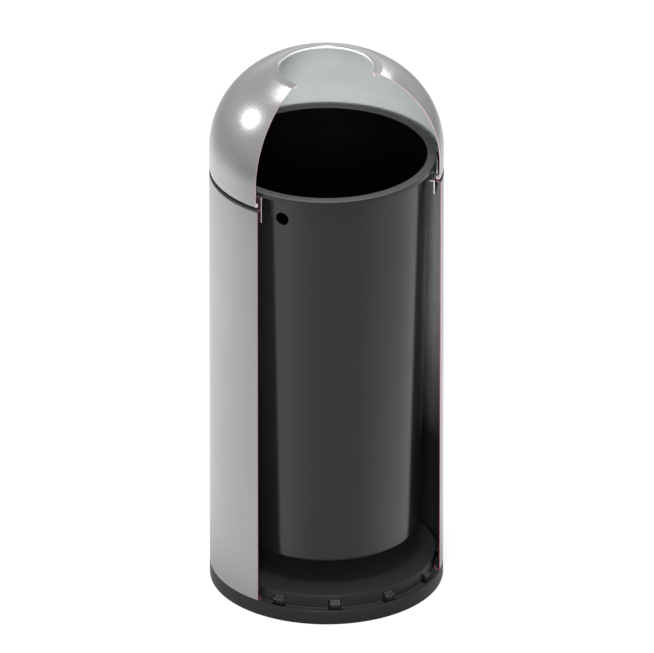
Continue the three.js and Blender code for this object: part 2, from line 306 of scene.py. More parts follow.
def left_standing(section, turned=0.0):
    """Where the sheet left by the cut starts, and the turn it covers."""
    return section.end + turned, FULL_TURN - (section.end - section.start)


def place(radius, around, height):
    """The point at a radius, angle and height."""
    return Vector((radius * math.sin(around), -radius * math.cos(around), height))


def radius_of(point):
    return math.hypot(point.x, point.y)


def angle_of(point):
    return math.atan2(point.x, -point.y)


def apart(a, b):
    """The angle between two directions round the axis, without its sign."""
    return abs((a - b + math.pi) % FULL_TURN - math.pi)


def faces_along(face):
    """Whether a face looks along the way round the axis, as cut faces do."""
    middle = face.calc_center_median()
    along = Vector((-middle.y, middle.x, 0)).normalized()
    return abs(face.normal.dot(along)) > 0.9


def thicken(mesh, gauge):
    """Gives a spun sheet its gauge, inwards. Slot 0 is its outer face, slot 1 its inner
    face and its bare rims, and slot 2 the faces that the section cuts."""
    outer = set(mesh.faces)
    bmesh.ops.solidify(mesh, geom=mesh.faces[:], thickness=gauge)
    mesh.normal_update()
    for face in mesh.faces:
        face.material_index = 0 if face in outer else 2 if faces_along(face) else 1


def carry(mesh, faces, stations):
    """Extrudes faces that stand side by side round the axis through stations, which
    each give (radius, height) for the inner and for the outer edge of the sheet."""
    for inner, outer in stations:
        made = bmesh.ops.extrude_face_region(mesh, geom=faces)["geom"]
        bmesh.ops.delete(mesh, geom=faces, context="FACES")
        faces = [item for item in made if isinstance(item, bmesh.types.BMFace)]
        points = {point for face in faces for point in face.verts}
        middle = sum(radius_of(point.co) for point in points) / len(points)
        for point in points:
            radius, height = inner if radius_of(point.co) < middle else outer
            point.co = place(radius, angle_of(point.co), height)


def chosen(parts, test, what):
    """The faces or edges that satisfy a test. It is an error if there are none."""
    found = [part for part in parts if test(part)]
    if not found:
        raise RuntimeError(f"nothing was found for {what}")
    return found


def gap_edges(mesh, near, what):
    """The open edges whose ends all satisfy a test."""
    return chosen(
        mesh.edges,
        lambda edge: edge.is_boundary and all(near(point.co) for point in edge.verts),
        what,
    )


# ---------------------------------------------------------------- finished pieces


def finish_piece(mesh, name, body, nodes, materials):
    """Turns a bmesh into a shaded piece that rides on a body and stands for nodes."""
    for face in mesh.faces:
        face.smooth = True
    for edge in mesh.edges:
        edge.smooth = edge.is_manifold and edge.calc_face_angle() < SHARP
    data = bpy.data.meshes.new(name)
    mesh.to_mesh(data)
    mesh.free()
    for material in materials:
        data.materials.append(material)
    made = bpy.data.objects.new(name, data)
    bpy.context.collection.objects.link(made)
    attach(made, body)
    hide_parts(*nodes)
    return made


def soften_edges(made, width, segments=2, slot=-1):
    """A small rounding on every sharp edge, with its own material slot if given."""
    bevel = made.modifiers.new("small rounding", "BEVEL")
    bevel.width = width
    bevel.segments = segments
    bevel.limit_method = "ANGLE"
    bevel.angle_limit = SHARP
    bevel.harden_normals = True
    bevel.material = slot


# ---------------------------------------------------------------- shader helpers


def rgba(tint, gain=1.0):
    """A colour made brighter or darker, with its alpha."""
    return (*(min(1.0, channel * gain) for channel in tint), 1.0)


class Nodes:
    """Adds nodes to a tree."""

    def __init__(self, tree):
        self.tree = tree

    def fill(self, socket, value):
        """Links another node's output to an input socket, or sets the socket's value."""
        if isinstance(value, bpy.types.NodeSocket):
            self.tree.links.new(value, socket)
        else:
            socket.default_value = value

    def add(self, kind, inputs=None, **settings):
        node = self.tree.nodes.new(kind)
        for name, value in settings.items():
            setattr(node, name, value)
        for name, value in (inputs or {}).items():
            self.fill(node.inputs[name], value)
        return node

    def maths(self, operation, first, second=0.0, third=0.0):
        inputs = {0: first, 1: second, 2: third}
        return self.add("ShaderNodeMath", inputs, operation=operation).outputs[0]

    def vector_maths(self, operation, first, second=(0.0, 0.0, 0.0)):
        """The outputs of a vector operation."""
        inputs = {0: first, 1: second}
        return self.add("ShaderNodeVectorMath", inputs, operation=operation).outputs

    def parts(self, vector):
        """A vector's x, y and z."""
        return self.add("ShaderNodeSeparateXYZ", {0: vector}).outputs

    def joined(self, x, y, z):
        """The vector of three values."""
        return self.add("ShaderNodeCombineXYZ", {0: x, 1: y, 2: z}).outputs[0]

    def noise(self, vector, scale, detail=2.0, roughness=0.5):
        inputs = {"Vector": vector, "Scale": scale, "Detail": detail, "Roughness": roughness}
        return self.add("ShaderNodeTexNoise", inputs).outputs["Fac"]

    def spread(self, value, low, high, to_low=0.0, to_high=1.0):
        """A value's range, mapped to another one and held there."""
        inputs = {0: value, 1: low, 2: high, 3: to_low, 4: to_high}
        return self.add("ShaderNodeMapRange", inputs).outputs[0]

    def blend(self, factor, first, second):
        """Two colours, mixed."""
        node = self.add("ShaderNodeMix", data_type="RGBA")
        for name, value in (("Factor_Float", factor), ("A_Color", first), ("B_Color", second)):
            self.fill(next(s for s in node.inputs if s.identifier == name), value)
        return next(s for s in node.outputs if s.identifier == "Result_Color")

    def varied(self, mask, tint, low, high):
        """A colour that a mask moves between two brightnesses."""
        return self.blend(mask, rgba(tint, low), rgba(tint, high))

    def bump(self, height, strength, distance):
        inputs = {"Height": height, "Strength": strength, "Distance": distance}
        return self.add("ShaderNodeBump", inputs).outputs["Normal"]


def effect(name, inputs, outputs, build):
    """A shader node group, built once. Inputs map a name to its kind and default."""
    if name in bpy.data.node_groups:
        return bpy.data.node_groups[name]
    tree = bpy.data.node_groups.new(name, "ShaderNodeTree")
    for socket, (kind, default) in inputs.items():
        made = tree.interface.new_socket(socket, in_out="INPUT", socket_type=kind)
        if default is not None:
            made.default_value = default
    for socket in outputs:
        tree.interface.new_socket(socket, in_out="OUTPUT", socket_type="NodeSocketFloat")
    nodes = Nodes(tree)
    entry = nodes.add("NodeGroupInput").outputs
    nodes.add("NodeGroupOutput", build(nodes, entry))
    return tree


VECTOR = "NodeSocketVector"
FLOAT = "NodeSocketFloat"


def brushed_lines():
    """Fine lines round the axis: `Lines` for the gloss, `Streaks` for the colour."""

    def build(nodes, entry):
        parts = nodes.parts(entry["Position"])
        gains = (entry["Along"], entry["Along"], entry["Across"])
        scaled = [nodes.maths("MULTIPLY", part, gain) for part, gain in zip(parts, gains)]
        drawn_out = nodes.joined(*scaled)
        return {
            "Lines": nodes.noise(drawn_out, 1.0, 3.0, 0.7),
            "Streaks": nodes.noise(drawn_out, 0.4, 2.0, 0.55),
        }

    inputs = {"Position": (VECTOR, None), "Along": (FLOAT, 20.0), "Across": (FLOAT, 4200.0)}
    return effect("brushed lines", inputs, ("Lines", "Streaks"), build)


def soft_clouds():
    """Slow, soft changes, such as handling leaves on a plain surface."""

    def build(nodes, entry):
        broad = nodes.noise(entry["Position"], entry["Scale"], 3.0, 0.5)
        return {"Mask": nodes.spread(broad, 0.35, 0.65)}

    inputs = {"Position": (VECTOR, None), "Scale": (FLOAT, 9.0)}
    return effect("soft clouds", inputs, ("Mask",), build)


def moulded_grain():
    """The fine pebbled texture of a moulded surface."""

    def build(nodes, entry):
        fine = nodes.noise(entry["Position"], entry["Scale"], 2.0, 0.6)
        return {"Height": fine}

    inputs = {"Position": (VECTOR, None), "Scale": (FLOAT, 1400.0)}
    return effect("moulded grain", inputs, ("Height",), build)


def dust_and_top_light():
    """Dust on faces that look up, uneven as it settles. The mask also paints the extra light that
    falls on upward faces.
    """

    def build(nodes, entry):
        normal = nodes.add("ShaderNodeNewGeometry").outputs["Normal"]
        up = nodes.parts(normal)[2]
        uneven = nodes.spread(nodes.noise(entry["Position"], entry["Scale"], 4.0), 0.3, 0.7, 0.75)
        return {"Mask": nodes.maths("MULTIPLY", nodes.spread(up, 0.6, 0.95), uneven)}

    inputs = {"Position": (VECTOR, None), "Scale": (FLOAT, 16.0)}
    return effect("settled dust", inputs, ("Mask",), build)


def use(nodes, group, **inputs):
    """A placed node group's outputs."""
    node = nodes.add("ShaderNodeGroup", node_tree=group)
    for name, value in inputs.items():
        nodes.fill(node.inputs[name.title()], value)
    return node.outputs


def new_material(name, metallic, **constants):
    """A material with its Principled BSDF: the material, its nodes, the shader and the
    object's own coordinates."""
    material = bpy.data.materials.new(name)
    material.use_nodes = True
    nodes = Nodes(material.node_tree)
    shader = material.node_tree.nodes["Principled BSDF"]
    shader.inputs["Metallic"].default_value = metallic
    for socket, value in constants.items():
        shader.inputs[socket.replace("_", " ")].default_value = value
    position = nodes.add("ShaderNodeTexCoord").outputs["Object"]
    return material, nodes, shader, position


def seen_rays(nodes):
    """Whether a ray belongs to what the camera sees, also mirrored or through glass,
    and whether it is mirrored."""
    path = nodes.add("ShaderNodeLightPath").outputs
    mirrored = path["Is Glossy Ray"]
    seen = nodes.maths("MAXIMUM", path["Is Camera Ray"], mirrored)
    return nodes.maths("MAXIMUM", seen, path["Is Transmission Ray"]), mirrored


def link(nodes, shader, **sockets):
    """Links values to the shader's sockets, named with underscores for spaces."""
    for name, value in sockets.items():
        nodes.tree.links.new(value, shader.inputs[name.replace("_", " ")])


# ---------------------------------------------------------------- materials

FADE = 0.001  # metres over which one finish gives way to the next
# The worn edges' lightening also paints the highlight that their roundings catch.
EDGE_WEAR_AND_HIGHLIGHT = 4  # how much lighter rubbed edges of the moulding are


def steel_surface(name, tint, roughness, position_across=None, seam_shading=None):
    """Satin brushed steel with its lines running round the body. `position_across`
    builds the coordinate that the lines follow one another in, if it isn't the height.
    The last argument gives the height at which the seam begins, and the colour of the
    painted shade that darkens it there, in the shadowed gap under the dome."""
    material, nodes, shader, position = new_material(name, 1.0)
    across = position_across(nodes, position) if position_across else position
    lines = use(nodes, brushed_lines(), position=across)
    clouds = use(nodes, soft_clouds(), position=position)["Mask"]
    streaked = nodes.spread(lines["Streaks"], 0.3, 0.7)
    shade = nodes.varied(streaked, tint, 0.965, 1.035)
    shade = nodes.blend(nodes.maths("MULTIPLY", clouds, 0.3), shade, rgba(tint, 0.94))
    rough = nodes.spread(lines["Lines"], 0.25, 0.75, roughness - 0.04, roughness + 0.05)
    rough = nodes.maths("ADD", rough, nodes.maths("MULTIPLY", clouds, 0.03))
    # Painted shade: the shoulder and flange turn dark, dull and not metallic, where the gap under
    # the dome lies in shadow.
    if seam_shading:
        height, seam_shade = seam_shading
        seam = nodes.spread(nodes.parts(position)[2], height, height + FADE)
        shade = nodes.blend(seam, shade, rgba(seam_shade))
        rough = nodes.spread(seam, 0.0, 1.0, rough, 0.8)
        link(nodes, shader, Metallic=nodes.spread(seam, 0.0, 1.0, 1.0, 0.0))
    relief = nodes.bump(lines["Lines"], 0.04, 0.0002)
    link(nodes, shader, Base_Color=shade, Roughness=rough, Normal=relief)
    return material


def along_the_dome(dome):
    """The dome's own coordinate across its spinning lines: the way along its arc."""

    def build(nodes, position):
        parts = nodes.parts(position)
        squares = [nodes.maths("MULTIPLY", parts[i], parts[i]) for i in (0, 1)]
        radius = nodes.maths("SQRT", nodes.maths("ADD", *squares))
        outwards = nodes.maths("SUBTRACT", radius, dome.radius - dome.arc)
        upwards = nodes.maths("SUBTRACT", parts[2], dome.spring)
        slope = nodes.maths("ARCTAN2", upwards, outwards)
        return nodes.joined(parts[0], parts[1], nodes.maths("MULTIPLY", slope, dome.arc))

    return build


def lining_surface(name, tint, metallic, roughness, shade_below=None, gap_shaded=None):
    """Dull sheet, as it comes from the mill, with faint clouds. Of the last two
    arguments, the first gives the heights between which a painted shade, dark below,
    fades out upwards, and the brightness it leaves below. The second gives the height
    above which the sheet takes a painted shade for the gap behind the support ring,
    and that shade's colour."""
    material, nodes, shader, position = new_material(name, metallic)
    clouds = use(nodes, soft_clouds(), position=position, scale=14.0)["Mask"]
    fine = use(nodes, moulded_grain(), position=position, scale=500.0)["Height"]
    shade = nodes.varied(clouds, tint, 0.95, 1.04)
    height = nodes.parts(position)[2]
    # Painted shade: the sheet grows darker towards the bottom, where less light reaches.
    if shade_below:
        low, high, left = shade_below
        uneven = nodes.maths("MULTIPLY_ADD", clouds, 0.02, third=height)
        shade = nodes.blend(nodes.spread(uneven, low, high), rgba(tint, left), shade)
    # Painted shade: above the ring's lower edge the sheet turns dark red-brown, as the gap behind
    # the ring is shaded.
    if gap_shaded:
        above, gap_shade = gap_shaded
        shade = nodes.blend(nodes.spread(height, above, above + FADE), shade, rgba(gap_shade))
    rough = nodes.spread(fine, 0.3, 0.7, roughness - 0.06, roughness + 0.06)
    link(nodes, shader, Base_Color=shade, Roughness=rough, Normal=nodes.bump(fine, 0.1, 0.0002))
    return material


def cut_surface(name, tint):
    """The painted faces of the section, with faint saw marks."""
    material, nodes, shader, position = new_material(name, 0.0)
    drawn_out = nodes.vector_maths("MULTIPLY", position, (900.0, 900.0, 120.0))["Vector"]
    marks = nodes.noise(drawn_out, 1.0, 2.0, 0.6)
    shade = nodes.varied(nodes.spread(marks, 0.3, 0.7), tint, 0.85, 1.2)
    rough = nodes.spread(marks, 0.3, 0.7, 0.45, 0.6)
    link(nodes, shader, Base_Color=shade, Roughness=rough, Normal=nodes.bump(marks, 0.1, 0.0002))
    return material


def moulding_surface(name, tint, roughness, ior, top_lightening=1.0):
    """Charcoal plastic with a fine moulded grain. The last argument is how much lighter
    dust and painted light from above make its upward faces."""
    material, nodes, shader, position = new_material(name, 0.0, IOR=ior)
    fine = use(nodes, moulded_grain(), position=position, scale=1500.0)["Height"]
    clouds = use(nodes, soft_clouds(), position=position, scale=7.0)["Mask"]
    dust_and_light = use(nodes, dust_and_top_light(), position=position)["Mask"]
    shade = nodes.varied(clouds, tint, 0.94, 1.06)
    # Upward faces lighter: dust, and painted light from above.
    shade = nodes.blend(dust_and_light, shade, rgba(tint, top_lightening))
    rough = nodes.spread(fine, 0.25, 0.75, roughness - 0.04, roughness + 0.05)
    relief = nodes.bump(fine, 0.06, 0.0001)
    link(nodes, shader, Base_Color=shade, Roughness=rough, Normal=relief)
    return material


def rubber_surface(tint):
    """Matte black rubber."""
    material, nodes, shader, position = new_material("black rubber", 0.0, IOR=1.45)
    fine = use(nodes, moulded_grain(), position=position, scale=2600.0)["Height"]
    shade = nodes.varied(fine, tint, 0.8, 1.3)
    rough = nodes.spread(fine, 0.3, 0.7, 0.75, 0.9)
    link(nodes, shader, Base_Color=shade, Roughness=rough, Normal=nodes.bump(fine, 0.2, 0.0002))
    return material


# ---------------------------------------------------------------- the pieces


def open_snap_window(mesh, base, middle):
    """Cuts one window through wall and ledge, and bends its tongue out of it."""

    def inside(point, reach=0.0):
        return (
            apart(angle_of(point), middle) < base.window + reach
            and base.wall - base.thickness - TINY < radius_of(point) < base.window_reach + TINY
            and base.ledge - base.thickness - TINY < point.z < base.window_top + TINY
        )

    def at_root(face):
        centre = face.calc_center_median()
        at_top = abs(centre.z - base.window_top) < TINY
        return at_top and apart(angle_of(centre), middle) < base.tongue

    block = chosen(mesh.faces, lambda face: inside(face.calc_center_median()), "a snap window")
    bmesh.ops.delete(mesh, geom=block, context="FACES")
    edges = gap_edges(
        mesh, lambda point: inside(point, reach=base.column / 4), "a snap window's edge"
    )
    sides = bmesh.ops.bridge_loops(mesh, edges=edges)["faces"]
    root = chosen(sides, at_root, "a snap tongue's root")
    back, top = base.wall - base.thickness, base.window_top
    low, reach = base.tip_low, base.tip_reach
    # Each station has the inner, then the outer edge of the tongue.
    bend = ((back + 0.0004, top - 0.0016), (base.wall + 0.0002, top - 0.001))
    shoulder = ((reach - 0.0037, low + 0.0009), (reach, low + 0.0015))
    end = ((reach - base.thickness, low), (reach, low))
    carry(mesh, root, [bend, shoulder, end])


class RECEPTACLE_OT_base(Operator):
    """Builds the moulded floor base, with its snap tongues and the ribs underneath"""

    bl_idname = "receptacle.base"
    bl_label = "Base"

    def execute(self, context):
        settings = context.scene.receptacle
        base = settings.base
        tint = settings.finishes.base
        plastics = [
            # upward faces lighter by dust and painted top light
            moulding_surface("charcoal base moulding", tint, roughness=0.42, ior=1.33, top_lightening=2.1),
            # edges lighter: wear, and painted highlight
            moulding_surface(
                "worn base edges with painted highlight", [EDGE_WEAR_AND_HIGHLIGHT * part for part in tint], roughness=0.5, ior=1.33
            ),
        ]
        mesh = bmesh.new()
        self.draw_skin(mesh, base)
        spin_round(mesh, base.first_snap, FULL_TURN, base.column)
        for i in range(base.snaps):
            open_snap_window(mesh, base, base.first_snap + i * FULL_TURN / base.snaps)
        bmesh.ops.recalc_face_normals(mesh, faces=mesh.faces)
        made = finish_piece(
            mesh, "base_floor_moulding", "shell_body", ["base_moulding"], plastics
        )
        soften_edges(made, ROUNDING, slot=1)
        self.add_ribs(base, plastics)
        return {"FINISHED"}

    @staticmethod
    def draw_skin(mesh, base):
        """Floor, wall, ledge, band and foot, and back along the inside."""
        wall_inside = base.wall - base.thickness
        under_ledge = base.ledge - base.thickness
        band_inside = base.foot_inside + 0.001
        line = Profile(mesh, 0.0, base.floor)
        line.straight(base.wall - base.fillet, base.floor, 8)
        line.bend(base.wall - base.fillet, base.floor - base.fillet, -90, 4)
        line.straight(base.wall, base.window_top)
        line.straight(base.wall, base.ledge)
        line.straight(base.window_reach, base.ledge)
        line.straight(base.radius - base.fillet, base.ledge)
        line.bend(base.radius - base.fillet, base.ledge - base.fillet, -90, 4)
        line.straight(base.radius, base.foot_round)
        line.bend(base.radius - base.foot_round, base.foot_round, -90, 4)
        line.straight(base.foot_inside, 0.0)
        line.straight(band_inside, under_ledge)
        line.straight(base.window_reach, under_ledge)
        line.straight(wall_inside, under_ledge)
        line.straight(wall_inside, base.window_top)
        line.straight(wall_inside, base.floor - base.thickness)
        line.straight(0.0, base.floor - base.thickness, 8)

    @staticmethod
    def add_ribs(base, plastics):
        """Round and radial ribs under the floor, which end above the ground."""
        mesh = bmesh.new()
        top = base.floor - base.thickness / 2
        for radius in (base.rib_ring_inner, base.rib_ring_outer):
            ring = bmesh.new()
            line = Profile(ring, radius, base.rib_clearance)
            line.straight(radius + base.rib, base.rib_clearance)
            line.straight(radius + base.rib, top).straight(radius, top).close()
            spin_round(ring, 0.0, FULL_TURN, base.column * 4)
            scratch = bpy.data.meshes.new("rib ring")
            ring.to_mesh(scratch)
            ring.free()
            mesh.from_mesh(scratch)
            bpy.data.meshes.remove(scratch)
        wall_middle = base.wall - base.thickness / 2
        band_middle = base.foot_inside + base.thickness / 2
        spoke = (base.rib_ring_inner + base.rib / 2, wall_middle, top)
        gusset = (wall_middle, band_middle, base.ledge - base.thickness / 2)
        for i in range(base.snaps):
            around = base.first_snap + (i + 0.5) * FULL_TURN / base.snaps
            for inner, outer, high in (spoke, gusset):
                points = bmesh.ops.create_cube(mesh, size=1.0)["verts"]
                deep = high - base.rib_clearance
                middle = Vector((0, -(inner + outer) / 2, base.rib_clearance + deep / 2))
                bmesh.ops.scale(mesh, verts=points, vec=(base.rib, outer - inner, deep))
                bmesh.ops.translate(mesh, verts=points, vec=middle)
                turned = Matrix.Rotation(around, 3, "Z")
                bmesh.ops.rotate(mesh, verts=points, cent=(0, 0, 0), matrix=turned)
        made = finish_piece(
            mesh, "base_underside_ribs", "shell_body", ["base_moulding"], plastics
        )
        soften_edges(made, ROUNDING, slot=1)


class RECEPTACLE_OT_shell(Operator):
    """Builds the rolled steel skin with its hem, shoulder and flange"""

    bl_idname = "receptacle.shell"
    bl_label = "Shell"

    def execute(self, context):
        settings = context.scene.receptacle
        shell, finishes = settings.shell, settings.finishes
        mesh = bmesh.new()
        line = Profile(mesh, shell.hem, shell.hem_top)
        line.straight(shell.hem, shell.low + shell.hem_bend)
        line.bend(shell.hem + shell.hem_bend, shell.low + shell.hem_bend, 90, 6)
        line.straight(shell.radius - shell.hem_bend, shell.low)
        line.bend(shell.radius - shell.hem_bend, shell.low + shell.hem_bend, 90, 6)
        line.straight(shell.radius, shell.top - shell.shoulder, 16)
        line.bend(shell.radius - shell.shoulder, shell.top - shell.shoulder, 90, 8)
        line.straight(shell.flange, shell.top)
        spin_round(mesh, *left_standing(settings.section), settings.section.column)
        thicken(mesh, shell.gauge)
        materials = [
            steel_surface(
                "brushed shell steel",
                finishes.steel,
                finishes.satin,
                # painted shade in the gap under the dome
                seam_shading=(shell.top - shell.shoulder, finishes.seam_shade),
            ),
            lining_surface(
                "shell inside",
                finishes.shell_inside,
                metallic=0.0,
                roughness=0.42,
                # painted shade, darker towards the bottom
                shade_below=(0.22, 0.54, 0.04),
                # painted shade in the gap behind the support ring
                gap_shaded=(settings.ring.low + 0.002, finishes.gap_shade),
            ),
            # shaded copy of the section paint
            cut_surface("shell cut paint, shaded copy", finishes.cut),
        ]
        finish_piece(mesh, "shell_sheet", "shell_body", ["shell_skin"], materials)
        return {"FINISHED"}


class RECEPTACLE_OT_ring(Operator):
    """Builds the support ring, slit into upright and inward tabs"""

    bl_idname = "receptacle.ring"
    bl_label = "Support ring"

    def execute(self, context):
        settings = context.scene.receptacle
        ring, shell, section = settings.ring, settings.shell, settings.section
        finishes = settings.finishes
        band_top = shell.top - ring.bend
        inside = ring.radius - ring.gauge
        mesh = bmesh.new()
        line = Profile(mesh, ring.radius, ring.low)
        line.straight(ring.radius, band_top, 4).straight(inside, band_top)
        line.straight(inside, ring.low, 4).close()
        spin_round(mesh, *left_standing(section), ring.column)
        bmesh.ops.holes_fill(mesh, edges=mesh.edges[:], sides=0)
        bmesh.ops.recalc_face_normals(mesh, faces=mesh.faces)
        ends = (section.start, section.end)
        pitch = FULL_TURN / ring.tabs
        uprights = (section.start, ring.upright, ring.top, ring.upright_reach)
        inwards = (section.start + pitch / 2, ring.inward, shell.top, ring.inward_reach)
        for first, wide, top, reach in (uprights, inwards):
            for i in range(ring.tabs):
                root = self.rim_faces(mesh, band_top, first + i * pitch, wide)
                if root:
                    carry(mesh, root, self.tab_stations(ring, top, reach))
        bmesh.ops.recalc_face_normals(mesh, faces=mesh.faces)
        materials = [
            lining_surface("plain ring steel", finishes.ring, metallic=0.9, roughness=0.36),
            lining_surface("sawn ring steel", finishes.sawn, metallic=0.1, roughness=0.6),
            # painted shade on the ring's outward faces, in the gap against the shell
            lining_surface("ring primer", finishes.gap_shade, metallic=0.0, roughness=0.6),
        ]
        for face in mesh.faces:
            middle = face.calc_center_median()
            at_end = min(apart(angle_of(middle), end) for end in ends)
            if faces_along(face) and at_end < ring.column / 4:
                face.material_index = 1
            # Outward faces take the painted gap shade.
            elif face.normal.dot(place(1.0, angle_of(middle), 0.0)) > 0.5:
                face.material_index = 2
        made = finish_piece(
            mesh, "support_ring_tabs", "shell_body", ["support_ring"], materials
        )
        soften_edges(made, 0.0002, 1)
        return {"FINISHED"}

    @staticmethod
    def rim_faces(mesh, height, middle, wide):
        """The faces on the band's top edge that one tab grows from."""
        return [
            face
            for face in mesh.faces
            if face.normal.z > 0.9
            and abs(face.calc_center_median().z - height) < TINY
            and apart(angle_of(face.calc_center_median()), middle) < wide / 2
        ]

    @staticmethod
    def tab_stations(ring, top, reach):
        """Up to the bend, round it, and straight inwards to the tab's end."""
        steps = 6
        inside = ring.bend - ring.gauge
        centre = Vector((ring.radius - ring.bend, top - ring.bend))
        stations = []
        for i in range(steps + 1):
            turn = math.pi / 2 * i / steps
            across = Vector((math.cos(turn), math.sin(turn)))
            stations.append((centre + across * inside, centre + across * ring.bend))
        stations.append(((reach, top - ring.gauge), (reach, top)))
        return stations


class RECEPTACLE_OT_buttons(Operator):
    """Builds the rubber buttons that the dome rests on"""

    bl_idname = "receptacle.buttons"
    bl_label = "Dome buttons"

    def execute(self, context):
        settings = context.scene.receptacle
        rubber = rubber_surface(settings.finishes.rubber)
        for side in ("right", "back", "left"):
            self.add_button(settings, side, rubber)
        return {"FINISHED"}

    @staticmethod
    def add_button(settings, side, rubber):
        button, shell, dome = settings.buttons, settings.shell, settings.dome
        node = f"dome_button_{side}"
        low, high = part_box(node)
        head_low, head_top = shell.top + button.play, dome.low - button.play
        bulb_top = shell.top - shell.gauge - button.play
        soft = button.rounding
        mesh = bmesh.new()
        line = Profile(mesh, 0.0, low.z)
        line.straight(button.stem - soft, low.z)
        line.straight(button.bulb, bulb_top - soft).straight(button.bulb, bulb_top)
        line.straight(button.stem, bulb_top).straight(button.stem, head_low)
        line.straight(button.head, head_low).straight(button.head, head_top - soft)
        line.bend(button.head - soft, head_top - soft, 90, 5)
        line.straight(0.0, head_top)
        spin_round(mesh, 0.0, FULL_TURN, FULL_TURN / 32)
        at = (low + high) / 2
        bmesh.ops.translate(mesh, verts=mesh.verts, vec=(at.x, at.y, 0))
        finish_piece(mesh, f"rubber_{node}", "shell_body", [node], [rubber])


class RECEPTACLE_OT_dome(Operator):
    """Builds the spun dome: bead, skirt, arc, flattened top and turned-in mouth"""

    bl_idname = "receptacle.dome"
    bl_label = "Dome"

    def execute(self, context):
        settings = context.scene.receptacle
        dome, section, finishes = settings.dome, settings.section, settings.finishes
        centre = dome.radius - dome.arc
        crease = math.degrees(math.acos((dome.crease - centre) / dome.arc))
        lip_at = dome.mouth + dome.lip
        mesh = bmesh.new()
        line = Profile(mesh, dome.radius - dome.bead, dome.low + 2 * dome.bead)
        line.bend(dome.radius - dome.bead, dome.low + dome.bead, 270, 24)
        line.straight(dome.radius, dome.spring, 4)
        line.bend(centre, dome.spring, crease, 64)
        line.straight(lip_at, dome.top, 6)
        line.bend(lip_at, dome.top - dome.lip, 90, 6)
        line.straight(dome.mouth, dome.top - dome.hem + dome.lip)
        line.bend(lip_at, dome.top - dome.hem + dome.lip, 90, 6)
        line.straight(lip_at + dome.curl, dome.top - dome.hem)
        spin_round(mesh, *left_standing(section, section.dome_turn), section.column)
        thicken(mesh, dome.gauge)
        # Painted light: the mouth's hem, facing inwards, takes the pale inside finish instead of
        # steel, so it shows light where steel would mirror dark.
        for face in mesh.faces:
            middle = face.calc_center_median()
            inwards = face.normal.dot(place(1.0, angle_of(middle), 0.0)) < -0.8
            if inwards and middle.z > dome.top - dome.hem:
                face.material_index = 1
        materials = [
            steel_surface(
                "satin dome steel", finishes.dome_steel, finishes.dome_satin, along_the_dome(dome)
            ),
            lining_surface(
                "dome inside",
                finishes.dome_inside,
                metallic=0.0,
                roughness=0.6,
                # painted shade, darker towards the bottom of the inside
                shade_below=(0.74, 0.87, 0.86),
            ),
            # lit copy of the section paint
            cut_surface("dome cut paint, lit copy", finishes.lit_dome_cut),
        ]
        finish_piece(mesh, "dome_sheet", "dome", ["dome_cover"], materials)
        return {"FINISHED"}


def wall_radius(liner, height):
    """Inside radius of the liner's tapered wall."""
    low, high = liner.low + liner.thickness + liner.corner, liner.rim - liner.rim_bend
    along = (height - low) / (high - low)
    return liner.foot_radius + (liner.top_radius - liner.foot_radius) * along


